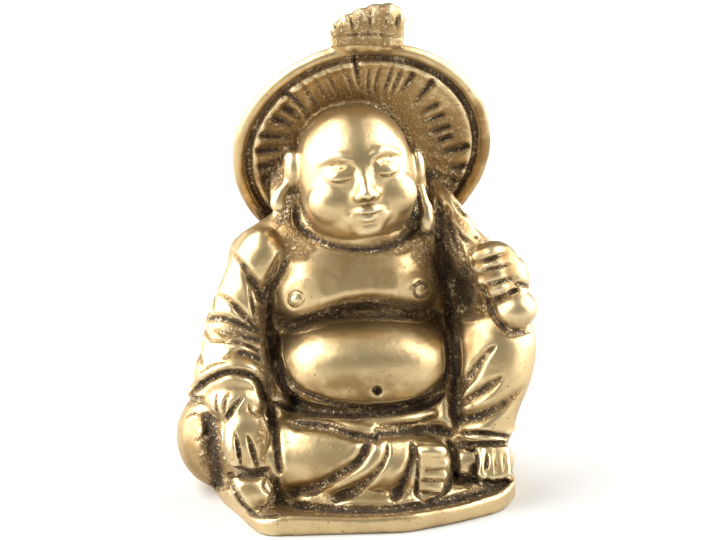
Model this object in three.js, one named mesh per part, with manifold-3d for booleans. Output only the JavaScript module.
// A small solid-cast brass figure of a seated, round-bellied monk with a wide hat, a cloth sack and a base plate.
// Millimetres, +Z up. The origin is on the underside, below the middle of the lap. The figure faces -Y.
// "Right" and "left" are the figure's own: its right knee lies flat, and its left knee is raised.
import * as THREE from 'three';
import { LoftGeometry } from 'three/addons/geometries/LoftGeometry.js';
import { mergeVertices } from 'three/addons/utils/BufferGeometryUtils.js';
import Module from 'manifold-3d';

const wasm = await Module();
wasm.setup();

// Driving dimensions
const SEATED_HEIGHT = 38;          // from the plate's top to the crown of the head
const BASE_THICKNESS = 2;
const BASE_BORDER = 1.3;           // how far the plate shows round the figure
const BASE_CORNER_RADIUS = 2.4;
const BASE_EDGE_BEVEL = 0.35;
const HAT_RADIUS = 13;             // to the outside of the round cord that edges it
const HAT_RIM_RADIUS = 0.65;       // of that cord's section
const HAT_BRIM_THICKNESS = 1.1;
const HAT_GROOVE_WIDTH = 0.8;      // of the ring sunk inside the rim
const HAT_GROOVE_DEPTH = 0.6;
const HAT_RAY_COUNT = 22;          // straw rays on the brim's underside
const HAT_RAY_WIDTH = 0.55;
const HAT_RAY_DEPTH = 0.45;
const HAT_CROWN_DEPTH = 4.2;       // how far the crown stands back from the brim
const HAT_KNOT_HEIGHT = 4.1;       // of the gathered knot above the brim's edge
const HAT_KNOT_WIDTH = 7.6;
const NAVEL_RADIUS = 0.5;
const NIPPLE_RADIUS = 0.75;
const FINGER_RADIUS = 0.85;
const TOE_RADIUS = 0.62;
const FOLD_WIDTH = 0.9;            // of a common fold line of the drapery
const FOLD_DEPTH = 0.6;

// The figure's forms are drawn for a seated height of 38 mm on a plate 2 mm thick, and grow with that height
const DRAWN_SEATED_HEIGHT = 38;
const DRAWN_BASE_THICKNESS = 2;
const GROWTH = SEATED_HEIGHT / DRAWN_SEATED_HEIGHT;

// Fold lines are drawn on a plane square to the main view, which is a little from the figure's right and above
const VIEW_TURN = THREE.MathUtils.degToRad(10);
const VIEW_RISE = THREE.MathUtils.degToRad(18);
const toViewer = new THREE.Vector3(
  -Math.sin(VIEW_TURN) * Math.cos(VIEW_RISE), -Math.cos(VIEW_TURN) * Math.cos(VIEW_RISE), Math.sin(VIEW_RISE));
const viewRight = new THREE.Vector3(Math.cos(VIEW_TURN), -Math.sin(VIEW_TURN), 0);
const viewUp = new THREE.Vector3().crossVectors(toViewer, viewRight);

const brass = new THREE.MeshStandardMaterial({ color: 0xb08d4a, roughness: 0.34, metalness: 1 });

// A point of the figure, from its drawn place above the plate's top
function place(x, y, z) {
  return new THREE.Vector3(x, y, z).multiplyScalar(GROWTH).add(new THREE.Vector3(0, 0, BASE_THICKNESS));
}

// A closed geometry as a solid that can be joined and cut
function solid(geometry) {
  const bare = new THREE.BufferGeometry();
  bare.setAttribute('position', geometry.getAttribute('position'));
  bare.setIndex(geometry.getIndex());
  const merged = mergeVertices(bare, 1e-4);
  return new wasm.Manifold(new wasm.Mesh({
    numProp: 3,
    vertProperties: merged.attributes.position.array,
    triVerts: new Uint32Array(merged.index.array),
  }));
}

// A joined or cut solid as a geometry again
function geometryOf(manifold) {
  const { vertProperties, triVerts } = manifold.getMesh();
  const geometry = new THREE.BufferGeometry();
  geometry.setAttribute('position', new THREE.BufferAttribute(vertProperties, 3));
  geometry.setIndex(new THREE.BufferAttribute(triVerts, 1));
  return geometry;
}

function joined(solids) {
  return solids.reduce((whole, next) => whole.add(next));
}

// An ellipsoid at a drawn place, with its three radii, turned by degrees about X, Y and Z
function ball([x, y, z], [rx, ry, rz], { turn = [0, 0, 0], around = 10, down = 6 } = {}) {
  const geometry = new THREE.SphereGeometry(1, around, down);
  geometry.rotateX(Math.PI / 2);
  geometry.scale(rx * GROWTH, ry * GROWTH, rz * GROWTH);
  const [a, b, c] = turn.map(THREE.MathUtils.degToRad);
  geometry.applyMatrix4(new THREE.Matrix4().makeRotationFromEuler(new THREE.Euler(a, b, c)));
  geometry.translate(...place(x, y, z).toArray());
  return solid(geometry);
}

// How far round a limb's rounded end its one extra ring stands
const CAP_ANGLE = 0.85;

// A round limb through stations of [x, y, z, radius], rounded at its end, and at its start where that shows
function limb(stations, { sides = 8, stepsPerSpan = 1, roundStart = true } = {}) {
  const line = new THREE.CatmullRomCurve3(stations.map(([x, y, z]) => place(x, y, z)));
  const radii = new THREE.CatmullRomCurve3(stations.map(s => new THREE.Vector3(s[3] * GROWTH, 0, 0)));
  const steps = (stations.length - 1) * stepsPerSpan;
  const frames = line.computeFrenetFrames(steps, false);
  const ring = (centre, radius, i) => Array.from({ length: sides }, (_, k) => {
    const angle = (k / sides) * 2 * Math.PI;
    return centre.clone()
      .addScaledVector(frames.normals[i], radius * Math.cos(angle))
      .addScaledVector(frames.binormals[i], radius * Math.sin(angle));
  });
  const sections = [];
  for (let i = 0; i <= steps; i++) {
    const centre = line.getPointAt(i / steps);
    const radius = radii.getPoint(line.getUtoTmapping(i / steps)).x;
    const cap = way => ring(centre.clone().addScaledVector(frames.tangents[i], way * radius * Math.sin(CAP_ANGLE)),
      radius * Math.cos(CAP_ANGLE), i);
    if (i === 0 && roundStart) sections.push(cap(-1));
    sections.push(ring(centre, radius, i));
    if (i === steps) sections.push(cap(1));
  }
  return solid(new LoftGeometry(sections, { capStart: true, capEnd: true }));
}

// A closed form of elliptic rings about a drawn place, each of [height, half-width, half-depth, shift along Y] and,
// where its sides hang lower than its middle, how much lower
function egg([x, y, z], rings, { turn = 0, around = 14 } = {}) {
  const lean = new THREE.Matrix4().makeRotationY(THREE.MathUtils.degToRad(turn));
  const sections = rings.map(([height, halfWidth, halfDepth, shift, droop = 0]) => (
    Array.from({ length: around }, (_, k) => {
      const angle = (k / around) * 2 * Math.PI;
      const [c, s] = [Math.cos(angle), Math.sin(angle)];
      const point = new THREE.Vector3(halfWidth * c, shift + halfDepth * s, height - droop * c * c);
      point.applyMatrix4(lean);
      return place(x + point.x, y + point.y, z + point.z);
    })));
  return solid(new LoftGeometry(sections, { capStart: true, capEnd: true }));
}

// A point on the plane of the main view, in drawn millimetres right and up of the origin's own place
function onViewPlane(u, v) {
  const lift = new THREE.Vector3(0, 0, BASE_THICKNESS - DRAWN_BASE_THICKNESS * GROWTH);
  const spot = new THREE.Vector3().addScaledVector(viewRight, u).addScaledVector(viewUp, v);
  return spot.multiplyScalar(GROWTH).add(lift);
}

// The drawn place, above the plate's top, that shows at a spot of that plane, by how far back it lies
function seen(u, v, y) {
  const x = (u - viewRight.y * y) / viewRight.x;
  return [x, y, (v - viewUp.x * x - viewUp.y * y) / viewUp.z - DRAWN_BASE_THICKNESS];
}

// A bowed line on the view plane, laid on the surface that the viewer sees there
function lineOnSurface(surface, { from, to, bow = 0, spacing = 2.3 }) {
  const [start, end] = [new THREE.Vector2(...from), new THREE.Vector2(...to)];
  const chord = end.clone().sub(start);
  const across = new THREE.Vector2(-chord.y, chord.x).normalize();
  const steps = Math.max(3, Math.round(chord.length() / spacing));
  const caster = new THREE.Raycaster();
  const far = 2 * SEATED_HEIGHT;
  const points = [];
  for (let i = 0; i <= steps; i++) {
    const t = i / steps;
    const p = start.clone().addScaledVector(chord, t).addScaledVector(across, 4 * bow * t * (1 - t));
    const origin = onViewPlane(p.x, p.y).addScaledVector(toViewer, far);
    caster.set(origin, toViewer.clone().negate());
    const hit = caster.intersectObject(surface)[0];
    if (hit) points.push(hit.point);
  }
  return points;
}

// The tool that sinks a fold line: a tapered bar of lozenge section along the line, half in the surface
function groove(surface, { width = 1, depth = 1, ...line }) {
  const points = lineOnSurface(surface, line);
  const last = points.length - 1;
  const sections = points.map((point, i) => {
    const along = points[Math.min(i + 1, last)].clone().sub(points[Math.max(i - 1, 0)]).normalize();
    const side = new THREE.Vector3().crossVectors(toViewer, along).normalize();
    const out = new THREE.Vector3().crossVectors(along, side);
    const taper = Math.sqrt(Math.sin(Math.PI * (i + 0.35) / (last + 0.7)));
    return [[0.5, 0], [0, 1], [-0.5, 0], [0, -1]].map(([across, up]) => point.clone()
      .addScaledVector(side, FOLD_WIDTH * width * taper * across)
      .addScaledVector(out, FOLD_DEPTH * depth * taper * up));
  });
  return solid(new LoftGeometry(sections, { capStart: true, capEnd: true }));
}

// The plate's outline, seen from above: it follows the seat, and a front corner is cut back on the figure's left
function baseOutline() {
  const w = 13.4 * GROWTH + BASE_BORDER;
  const f = 14.6 * GROWTH + BASE_BORDER;
  const b = 8.6 * GROWTH + BASE_BORDER;
  const corners = [[-w, b], [-w * 0.99, -f * 0.16], [-w * 0.83, -f * 0.9], [w * 0.26, -f], [w * 0.9, -f * 0.7],
    [w * 1.03, -f * 0.42], [w, b]].map(c => new THREE.Vector2(...c));
  const shape = new THREE.Shape();
  corners.forEach((corner, i) => {
    const before = corners[(i + corners.length - 1) % corners.length];
    const after = corners[(i + 1) % corners.length];
    const cut = Math.min(BASE_CORNER_RADIUS, corner.distanceTo(before) / 3, corner.distanceTo(after) / 3);
    const enter = corner.clone().lerp(before, cut / corner.distanceTo(before));
    const leave = corner.clone().lerp(after, cut / corner.distanceTo(after));
    if (i === 0) shape.moveTo(enter.x, enter.y);
    else shape.lineTo(enter.x, enter.y);
    shape.quadraticCurveTo(corner.x, corner.y, leave.x, leave.y);
  });
  shape.closePath();
  return shape;
}

function basePlate() {
  const bevel = Math.min(BASE_EDGE_BEVEL, BASE_THICKNESS / 3);
  const geometry = new THREE.ExtrudeGeometry(baseOutline(), {
    depth: BASE_THICKNESS - 2 * bevel, curveSegments: 3,
    bevelEnabled: true, bevelSize: bevel, bevelOffset: -bevel, bevelThickness: bevel, bevelSegments: 1,
  });
  geometry.translate(0, 0, bevel);
  return solid(geometry);
}

// The low mound of ground that the lap and the feet rise from
function ground() {
  return ball([0.4, -2.4, 0], [12.6, 11.4, 2.2], { around: 16, down: 6 });
}

// The sack: its full bottom at the figure's right, its cloth across the back, up to the left shoulder
function sack() {
  return joined([
    ball([-12.8, 1.4, 3.3], [5.3, 5.5, 5.4], { around: 12, down: 8 }),
    ball([-6.0, 4.6, 6.0], [8.0, 4.6, 7.0], { turn: [0, -35, 0], around: 12, down: 7 }),
    limb([[-6.0, 4.8, 9.0, 4.9], [-1.0, 5.0, 13.6, 4.8], [3.6, 4.6, 18.6, 4.0], [6.8, 3.0, 23.0, 2.7],
      [8.0, 1.4, 26.8, 1.5]]),
  ]);
}

// The sack's twisted neck, which comes over the left shoulder into the raised fist
function sackNeck() {
  return joined([
    limb([[7.6, 1.4, 27.2, 1.3], [8.2, -1.0, 26.4, 1.4], [9.2, -3.4, 24.9, 1.4], [10.4, -5.4, 23.2, 1.3]],
      { sides: 7 }),
    limb([[7.8, 1.2, 28.2, 0.9], [8.7, -0.8, 27.3, 1.0], [9.8, -2.9, 25.8, 1.0], [10.7, -4.6, 24.3, 0.9]],
      { sides: 6 }),
  ]);
}

// The body under its robe, with the cloth that fills in behind both arms
function torso() {
  return joined([
    ball([0.2, 2.0, 6.0], [12.2, 6.6, 7.4], { around: 12, down: 8 }),
    ball([0.3, 1.6, 14.6], [11.6, 5.6, 11.4], { around: 14, down: 9 }),
    limb([[-10.2, -0.4, 22.4, 3.0], [-0.5, 0.8, 25.6, 3.9], [9.4, 0.4, 22.6, 3.0]], { stepsPerSpan: 2 }),
  ]);
}

// A broad chest whose lower edge arches over the belly
const CHEST_RINGS = [[-3.1, 5.6, 3.2, 0.1, 2.4], [-2.6, 7.8, 5.0, 0, 3.1], [-1.0, 8.6, 5.2, -0.1, 2.2],
  [1.8, 8.5, 4.3, 0, 0.7], [3.6, 7.6, 3.4, 0.2], [5.0, 5.4, 2.0, 0.4]];

function chest() {
  return egg([-0.9, -0.9, 21.6], CHEST_RINGS, { around: 16 });
}

function belly() {
  return ball([-0.1, -3.0, 12.1], [8.7, 6.6, 4.6], { around: 18, down: 10 });
}

// The sash, a narrow roll of cloth that shows under the belly
function sash() {
  return limb([[...seen(-2.2, 6.1, -8.6), 0.3], [...seen(1.4, 6.4, -9.3), 0.45], [...seen(5.4, 6.75, -8.7), 0.46],
    [...seen(7.4, 7.2, -7.6), 0.3]], { sides: 6 });
}

function nipples(surface) {
  return [[-6.1, 18.5], [6.2, 19.3]].map(([u, v]) => {
    const [point] = lineOnSurface(surface, { from: [u, v], to: [u + 0.1, v] });
    const geometry = new THREE.SphereGeometry(NIPPLE_RADIUS, 8, 5);
    geometry.translate(...point.toArray());
    return solid(geometry);
  });
}

function navel(surface) {
  const [point] = lineOnSurface(surface, { from: [1.9, 9.3], to: [2.0, 9.3] });
  const geometry = new THREE.SphereGeometry(NAVEL_RADIUS, 8, 5);
  geometry.translate(...point.toArray());
  return solid(geometry);
}

// A round head on a short neck, with a calm, general face: closed lids, a straight nose and a closed mouth
const HEAD_CENTRE = [-0.7, -2.0, 31.4];
const HEAD_LEAN = 5;
const HEAD_RINGS = [[-6.4, 2.7, 2.5, -0.9], [-5.2, 4.7, 4.2, -0.9], [-3.4, 5.5, 5.0, -0.8], [-1.2, 5.75, 5.5, -0.3],
  [1.2, 5.65, 5.8, 0], [3.4, 5.1, 5.4, 0.1], [5.2, 3.9, 4.2, 0.2], [6.5, 1.9, 2.1, 0.2]];

function head() {
  const [x, y, z] = HEAD_CENTRE;
  const turn = [0, -HEAD_LEAN, 0];
  const small = { around: 7, down: 4 };
  return joined([
    egg([x, y, z], HEAD_RINGS, { turn: -HEAD_LEAN, around: 16 }),
    ball([x - 0.2, 0.4, z - 2.6], [8.7, 3.0, 6.0], { turn, around: 12 }),
    ball([x, y + 0.4, 25.2], [5.4, 4.4, 2.4], { turn }),
    limb([[x, y - 5.3, z + 0.6, 0.5], [x + 0.1, y - 6.1, z - 1.4, 0.7], [x + 0.1, y - 6.3, z - 2.2, 0.85]],
      { sides: 6, roundStart: false }),
    ball([x + 0.1, y - 5.5, z - 2.2], [1.4, 0.8, 0.6], small),
    ball([x + 0.3, y - 5.4, z - 3.8], [1.6, 0.6, 0.35], small),
    ball([x + 0.3, y - 5.3, z - 4.4], [1.4, 0.6, 0.4], small),
    ball([x - 2.2, y - 5.1, z + 0.1], [1.4, 0.7, 0.6], small),
    ball([x + 2.3, y - 5.1, z + 0.3], [1.4, 0.7, 0.6], small),
  ]);
}

// Ears with long lobes, each by its top and by the end of its lobe
function ears() {
  const ear = ([x, y, z], [lx, ly, lz]) => joined([
    ball([x, y, z], [1.0, 1.5, 2.3], { around: 8, down: 5 }),
    limb([[x, y - 0.3, z - 1, 0.7], [(x + lx) / 2, (y + ly) / 2 - 0.2, (z + lz) / 2, 0.65], [lx, ly, lz, 0.9]],
      { sides: 6, roundStart: false }),
  ]);
  return joined([ear([-6.9, -1.2, 31.6], [-8.4, -2.3, 28.4]), ear([5.6, -1.4, 31.0], [6.4, -3.0, 25.9])]);
}

// The hat: a shallow round brim leaning over the head, edged by a cord, with its crown behind and a knot on top
const HAT_PLACE = [0.8, 2.5, 32.2];
const HAT_LEAN = THREE.MathUtils.degToRad(15);
const HAT_SQUAT = 0.95;            // the brim's height over its width
const HAT_SEGMENTS = 26;

// Turns a geometry made round +Z, with its underside up, to where the hat sits on the head
function onHat(geometry) {
  geometry.scale(1, HAT_SQUAT, 1);
  geometry.rotateX(Math.PI / 2 + HAT_LEAN);
  geometry.translate(...place(...HAT_PLACE).toArray());
  return geometry;
}

function hatBrim() {
  const r = HAT_RADIUS - HAT_RIM_RADIUS;
  const t = HAT_BRIM_THICKNESS;
  const bed = t * 0.4 - HAT_GROOVE_DEPTH;
  const lip = r - HAT_RIM_RADIUS * Math.cos(Math.PI / 6) - HAT_GROOVE_WIDTH;
  const rim = [-90, -30, 30, 90, 150].map(THREE.MathUtils.degToRad)
    .map(angle => [r + HAT_RIM_RADIUS * Math.cos(angle), HAT_RIM_RADIUS * Math.sin(angle)]);
  const profile = [[0, -HAT_CROWN_DEPTH], [r * 0.32, -HAT_CROWN_DEPTH * 0.84], [r * 0.52, -HAT_CROWN_DEPTH * 0.45],
    ...rim, [lip + HAT_GROOVE_WIDTH * 0.5, bed], [lip, t * 0.5], [0, t * 0.2]];
  const geometry = new THREE.LatheGeometry(profile.map(p => new THREE.Vector2(...p)), HAT_SEGMENTS);
  geometry.rotateX(Math.PI / 2);
  return solid(onHat(geometry));
}

// Rays cut in the brim's underside, like laid straw
function hatRays() {
  const outer = (HAT_RADIUS - 2 * HAT_RIM_RADIUS - HAT_GROOVE_WIDTH) * 0.97;
  return Array.from({ length: HAT_RAY_COUNT }, (_, i) => {
    const angle = THREE.MathUtils.degToRad(-40 + 260 * i / (HAT_RAY_COUNT - 1));
    const length = outer * (0.34 + 0.06 * Math.sin(3 * i));
    const ray = new THREE.CylinderGeometry(1, 1, length, 3, 1, false, Math.PI / 2);
    ray.rotateZ(Math.PI / 2);
    ray.scale(1, HAT_RAY_WIDTH / Math.sqrt(3), HAT_RAY_DEPTH / 1.5);
    ray.translate(outer - length / 2, 0, HAT_BRIM_THICKNESS * 0.42);
    ray.rotateZ(angle);
    return solid(onHat(ray));
  });
}

// The gathered knot on the top of the brim, ribbed like folded cloth, higher towards the figure's left
const KNOT_RIBS = 7;
// Its levels, from the foot up: share of its height, half-thickness, and how deep the ribs are cut there
const KNOT_LEVELS = [[-0.12, 0.7, 0], [0.1, 1.0, 0], [0.16, 0.75, 0], [0.8, 0.9, 0.38], [1, 0.45, 0.38]];
// Where along its width the knot is highest, and how flat its top is
const KNOT_PEAK = 0.35;
const KNOT_SPREAD = 1.45;

function hatKnot() {
  const top = HAT_RADIUS * HAT_SQUAT / GROWTH;
  const [x, y, z] = HAT_PLACE;
  const footY = y - top * Math.sin(HAT_LEAN);
  const footZ = z + top * Math.cos(HAT_LEAN) - 0.2;
  const half = HAT_KNOT_WIDTH / GROWTH / 2;
  const rise = HAT_KNOT_HEIGHT / GROWTH;
  const steps = 2 * KNOT_RIBS;
  const sections = KNOT_LEVELS.map(([share, thick, cut]) => {
    const side = way => Array.from({ length: steps + 1 }, (_, i) => {
      const t = way * (2 * i / steps - 1);
      const height = Math.sqrt(1 - ((t - KNOT_PEAK) / KNOT_SPREAD) ** 2);
      const valley = i % 2 === 0 ? 1 - cut : 1;
      const depth = thick * valley * Math.sqrt(1.06 - t * t);
      return place(x + half * t, footY - way * depth, footZ + rise * share * height);
    });
    return [...side(1), ...side(-1)];
  });
  return solid(new LoftGeometry(sections, { capStart: true, capEnd: true }));
}

// The right arm hangs in its sleeve to the knee that lies flat
function rightArm() {
  return joined([
    limb([[-10.3, -1.2, 23.4, 2.4], [-11.5, -2.2, 20.4, 2.5], [-12.7, -2.6, 16.8, 2.9], [-12.9, -3.0, 13.6, 3.5],
      [-13.2, -4.0, 11.4, 4.1]], { sides: 10 }),
    ball([-13.4, -4.2, 10.6], [4.7, 3.4, 1.5], { turn: [0, -12, 0] }),
  ]);
}

// The right hand lies over the knee, its fingers together and pointing down, on a lump of metal
function rightHand() {
  const back = ball(seen(-12.1, 8.5, -6.2), [3.0, 2.7, 2.2], { around: 8 });
  const palm = ball(seen(-11.0, 4.5, -8.6), [2.4, 1.7, 3.1], { around: 8, down: 6 });
  const finger = FINGER_RADIUS / GROWTH;
  const fingers = [[-12.4, 5.7, 2.4], [-11.1, 6.4, 2.0], [-9.7, 6.2, 2.2]].map(([u, top, foot]) => limb([
    [...seen(u - 0.1, top, -9.3), finger * 0.95], [...seen(u, (top + foot) / 2, -9.8), finger],
    [...seen(u + 0.35, foot, -10.1), finger * 0.85]], { sides: 6, roundStart: false }));
  const lump = ball([-12.4, -10.8, 1.6], [2.5, 2.0, 1.9], { turn: [20, 25, 0], around: 8 });
  return joined([back, palm, ...fingers, lump]);
}

// The right leg lies flat: thigh out to the knee, shin across the front, under the robe's lap
function rightLeg() {
  return joined([
    limb([[-4, 1, 4.4, 4.6], [-8.6, -2.5, 4.2, 4.4], [-10.2, -6.0, 3.6, 3.9]]),
    limb([[-10.0, -6.8, 3.6, 3.9], [-6.5, -8.2, 4.0, 4.1], [-2.0, -8.8, 3.8, 4.1], [2.0, -9.2, 3.2, 3.7],
      [5.0, -9.6, 2.6, 3.0]], { sides: 9 }),
    ball([-1.2, -4.5, 5.6], [9.4, 5.6, 3.2], { around: 14 }),
  ]);
}

// The right foot lies on its side under the lap, so its toes show one above the other. Each is given by the height
// and the end of the toe on the view plane, and its thickness over a common toe's
const RIGHT_TOES = [[3.35, 8.25, 1.25], [2.2, 8.35, 1.12], [1.08, 8.25, 1.08], [-0.08, 7.95, 1.05],
  [-1.15, 7.25, 0.9]];

function rightFoot() {
  return joined([
    ball(seen(6.6, 1.2, -10.4), [1.5, 1.7, 3.1], { around: 8 }),
    ...RIGHT_TOES.map(([v, u, thick]) => {
      const toe = TOE_RADIUS * thick / GROWTH;
      return limb([[...seen(6.2, v + 0.05, -11.9), toe], [...seen(u, v, -12.1), toe]],
        { sides: 6, roundStart: false });
    }),
  ]);
}

// The left knee is raised, its trouser leg ends in a hem, and its foot stands on the plate
function leftLeg() {
  return joined([
    limb([[5, 2, 5, 4.6], [9, -1, 9.0, 4.2], [12.4, -4.2, 12.8, 4.1]]),
    limb([[12.9, -5.2, 13.8, 4.2], [12.6, -6.0, 11.4, 4.0], [11.8, -6.6, 8.4, 3.5], [11.4, -7.2, 5.8, 3.0]],
      { sides: 9 }),
    ball([11.4, -7.1, 5.6], [3.3, 3.1, 0.9], { down: 4 }),
    ball([8.4, -2.4, 5.0], [5.4, 6.2, 5.6]),
  ]);
}

// Its toes, each by its place across the view plane and its thickness over a common toe's
const LEFT_TOES = [[12.15, 0.9], [13.2, 0.85], [14.0, 0.76], [14.75, 0.68]];

function leftFoot() {
  return joined([
    ball(seen(10.5, 2.2, -9.2), [0.95, 1.4, 1.5], { around: 8 }),
    ball(seen(13.4, 2.7, -8.8), [1.9, 1.9, 1.9], { around: 8 }),
    ...LEFT_TOES.map(([u, thick]) => {
      const toe = TOE_RADIUS * thick / GROWTH;
      return limb([[...seen(u - 0.1, 3.5, -9.9), toe], [...seen(u, 2.2, -10.8), toe],
        [...seen(u + 0.12, 0.95, -11.3), toe]], { sides: 6, roundStart: false });
    }),
  ]);
}

// The left arm bends at the elbow, and its fist rests on the raised knee with the ball of the wrist below
function leftArm() {
  return joined([
    limb([[9.0, 0.8, 22.8, 2.9], [12.2, 1.0, 19.4, 3.0], [13.0, -1.6, 18.2, 3.0], [13.1, -5.0, 19.8, 2.6]]),
    ball(seen(13.5, 21.6, -6.6), [2.5, 2.3, 2.7], { around: 8 }),
    ball(seen(15.1, 20.3, -6.2), [1.9, 2.2, 2.7], { around: 8 }),
    ball(seen(15.7, 17.5, -8.0), [2.1, 2.1, 1.95], { around: 9 }),
  ]);
}

// Four fingers closed over the sack's neck, one above the other, each by where its tip shows on the view plane
const LEFT_FINGERTIPS = [[11.7, 22.7], [11.9, 21.5], [12.3, 20.3], [13.0, 19.2]];

function leftFingers() {
  const finger = FINGER_RADIUS * 0.8 / GROWTH;
  return LEFT_FINGERTIPS.map(([u, v], i) => limb([[...seen(15.0 + 0.2 * i, v + 0.5, -7.0), finger],
    [...seen(13.6 + 0.25 * i, v + 0.4, -8.6), finger * 1.1], [...seen(u, v, -8.2), finger]], { sides: 6 }));
}

// Lines of the drapery on the view plane: ends and bow in drawn millimetres, width and depth over a common fold's
const sleeveFolds = [
  { from: [-12.2, 23.1], to: [-9.3, 19.8], bow: -0.3 },
  { from: [-13.5, 18.9], to: [-10.0, 15.3], bow: 0.2 },
  { from: [-14.7, 16.3], to: [-9.8, 15.4], bow: 0.5 },
  { from: [-14.7, 14.3], to: [-9.8, 13.6], bow: 0.2 },
  { from: [-12.9, 12.8], to: [-9.7, 12.6], bow: 0.35 },
];
const lapFolds = [
  { from: [-6.8, 6.2], to: [1.4, 5.3], bow: 0.1, width: 0.9 },
  { from: [1.6, 4.6], to: [-6.8, -0.8], bow: 1.2, width: 1.3, depth: 1.3 },
  { from: [2.9, 4.6], to: [-4.8, -2.0], bow: 1.9, width: 1.2, depth: 1.3 },
  { from: [5.3, 4.6], to: [0.6, -2.2], bow: 1.3, width: 1.3, depth: 1.3 },
];
const shinFolds = [
  { from: [10.5, 9.8], to: [13.6, 13.4], bow: 0.3 },
  { from: [10.5, 8.3], to: [15.0, 10.8], bow: 0.3 },
  { from: [10.4, 6.6], to: [16.3, 9.2], bow: -0.6, width: 1.1 },
];

// Everything below the underside is cut away, so that the figure stands flat
function standingFlat(whole) {
  const slab = new THREE.BoxGeometry(4 * SEATED_HEIGHT, 4 * SEATED_HEIGHT, SEATED_HEIGHT);
  slab.translate(0, 0, -SEATED_HEIGHT / 2);
  return whole.subtract(solid(slab));
}

function figure() {
  const forms = joined([
    basePlate(), ground(), sack(), sackNeck(), torso(), chest(), belly(), sash(), head(), ears(), hatBrim(),
    hatKnot(), rightArm(), rightHand(), rightLeg(), rightFoot(), leftLeg(), leftFoot(), leftArm(), ...leftFingers(),
  ]);
  const surface = new THREE.Mesh(geometryOf(forms));
  const tools = [...sleeveFolds, ...lapFolds, ...shinFolds].map(line => groove(surface, line));
  const carved = joined([forms, ...nipples(surface)]).subtract(joined([...tools, navel(surface), ...hatRays()]));
  const pieces = standingFlat(carved).decompose();
  return pieces.reduce((most, piece) => (piece.volume() > most.volume() ? piece : most));
}

const root = new THREE.Group();
const cast = new THREE.Mesh(geometryOf(figure()), brass);
cast.name = 'budai_figure';
root.add(cast);

export default root;
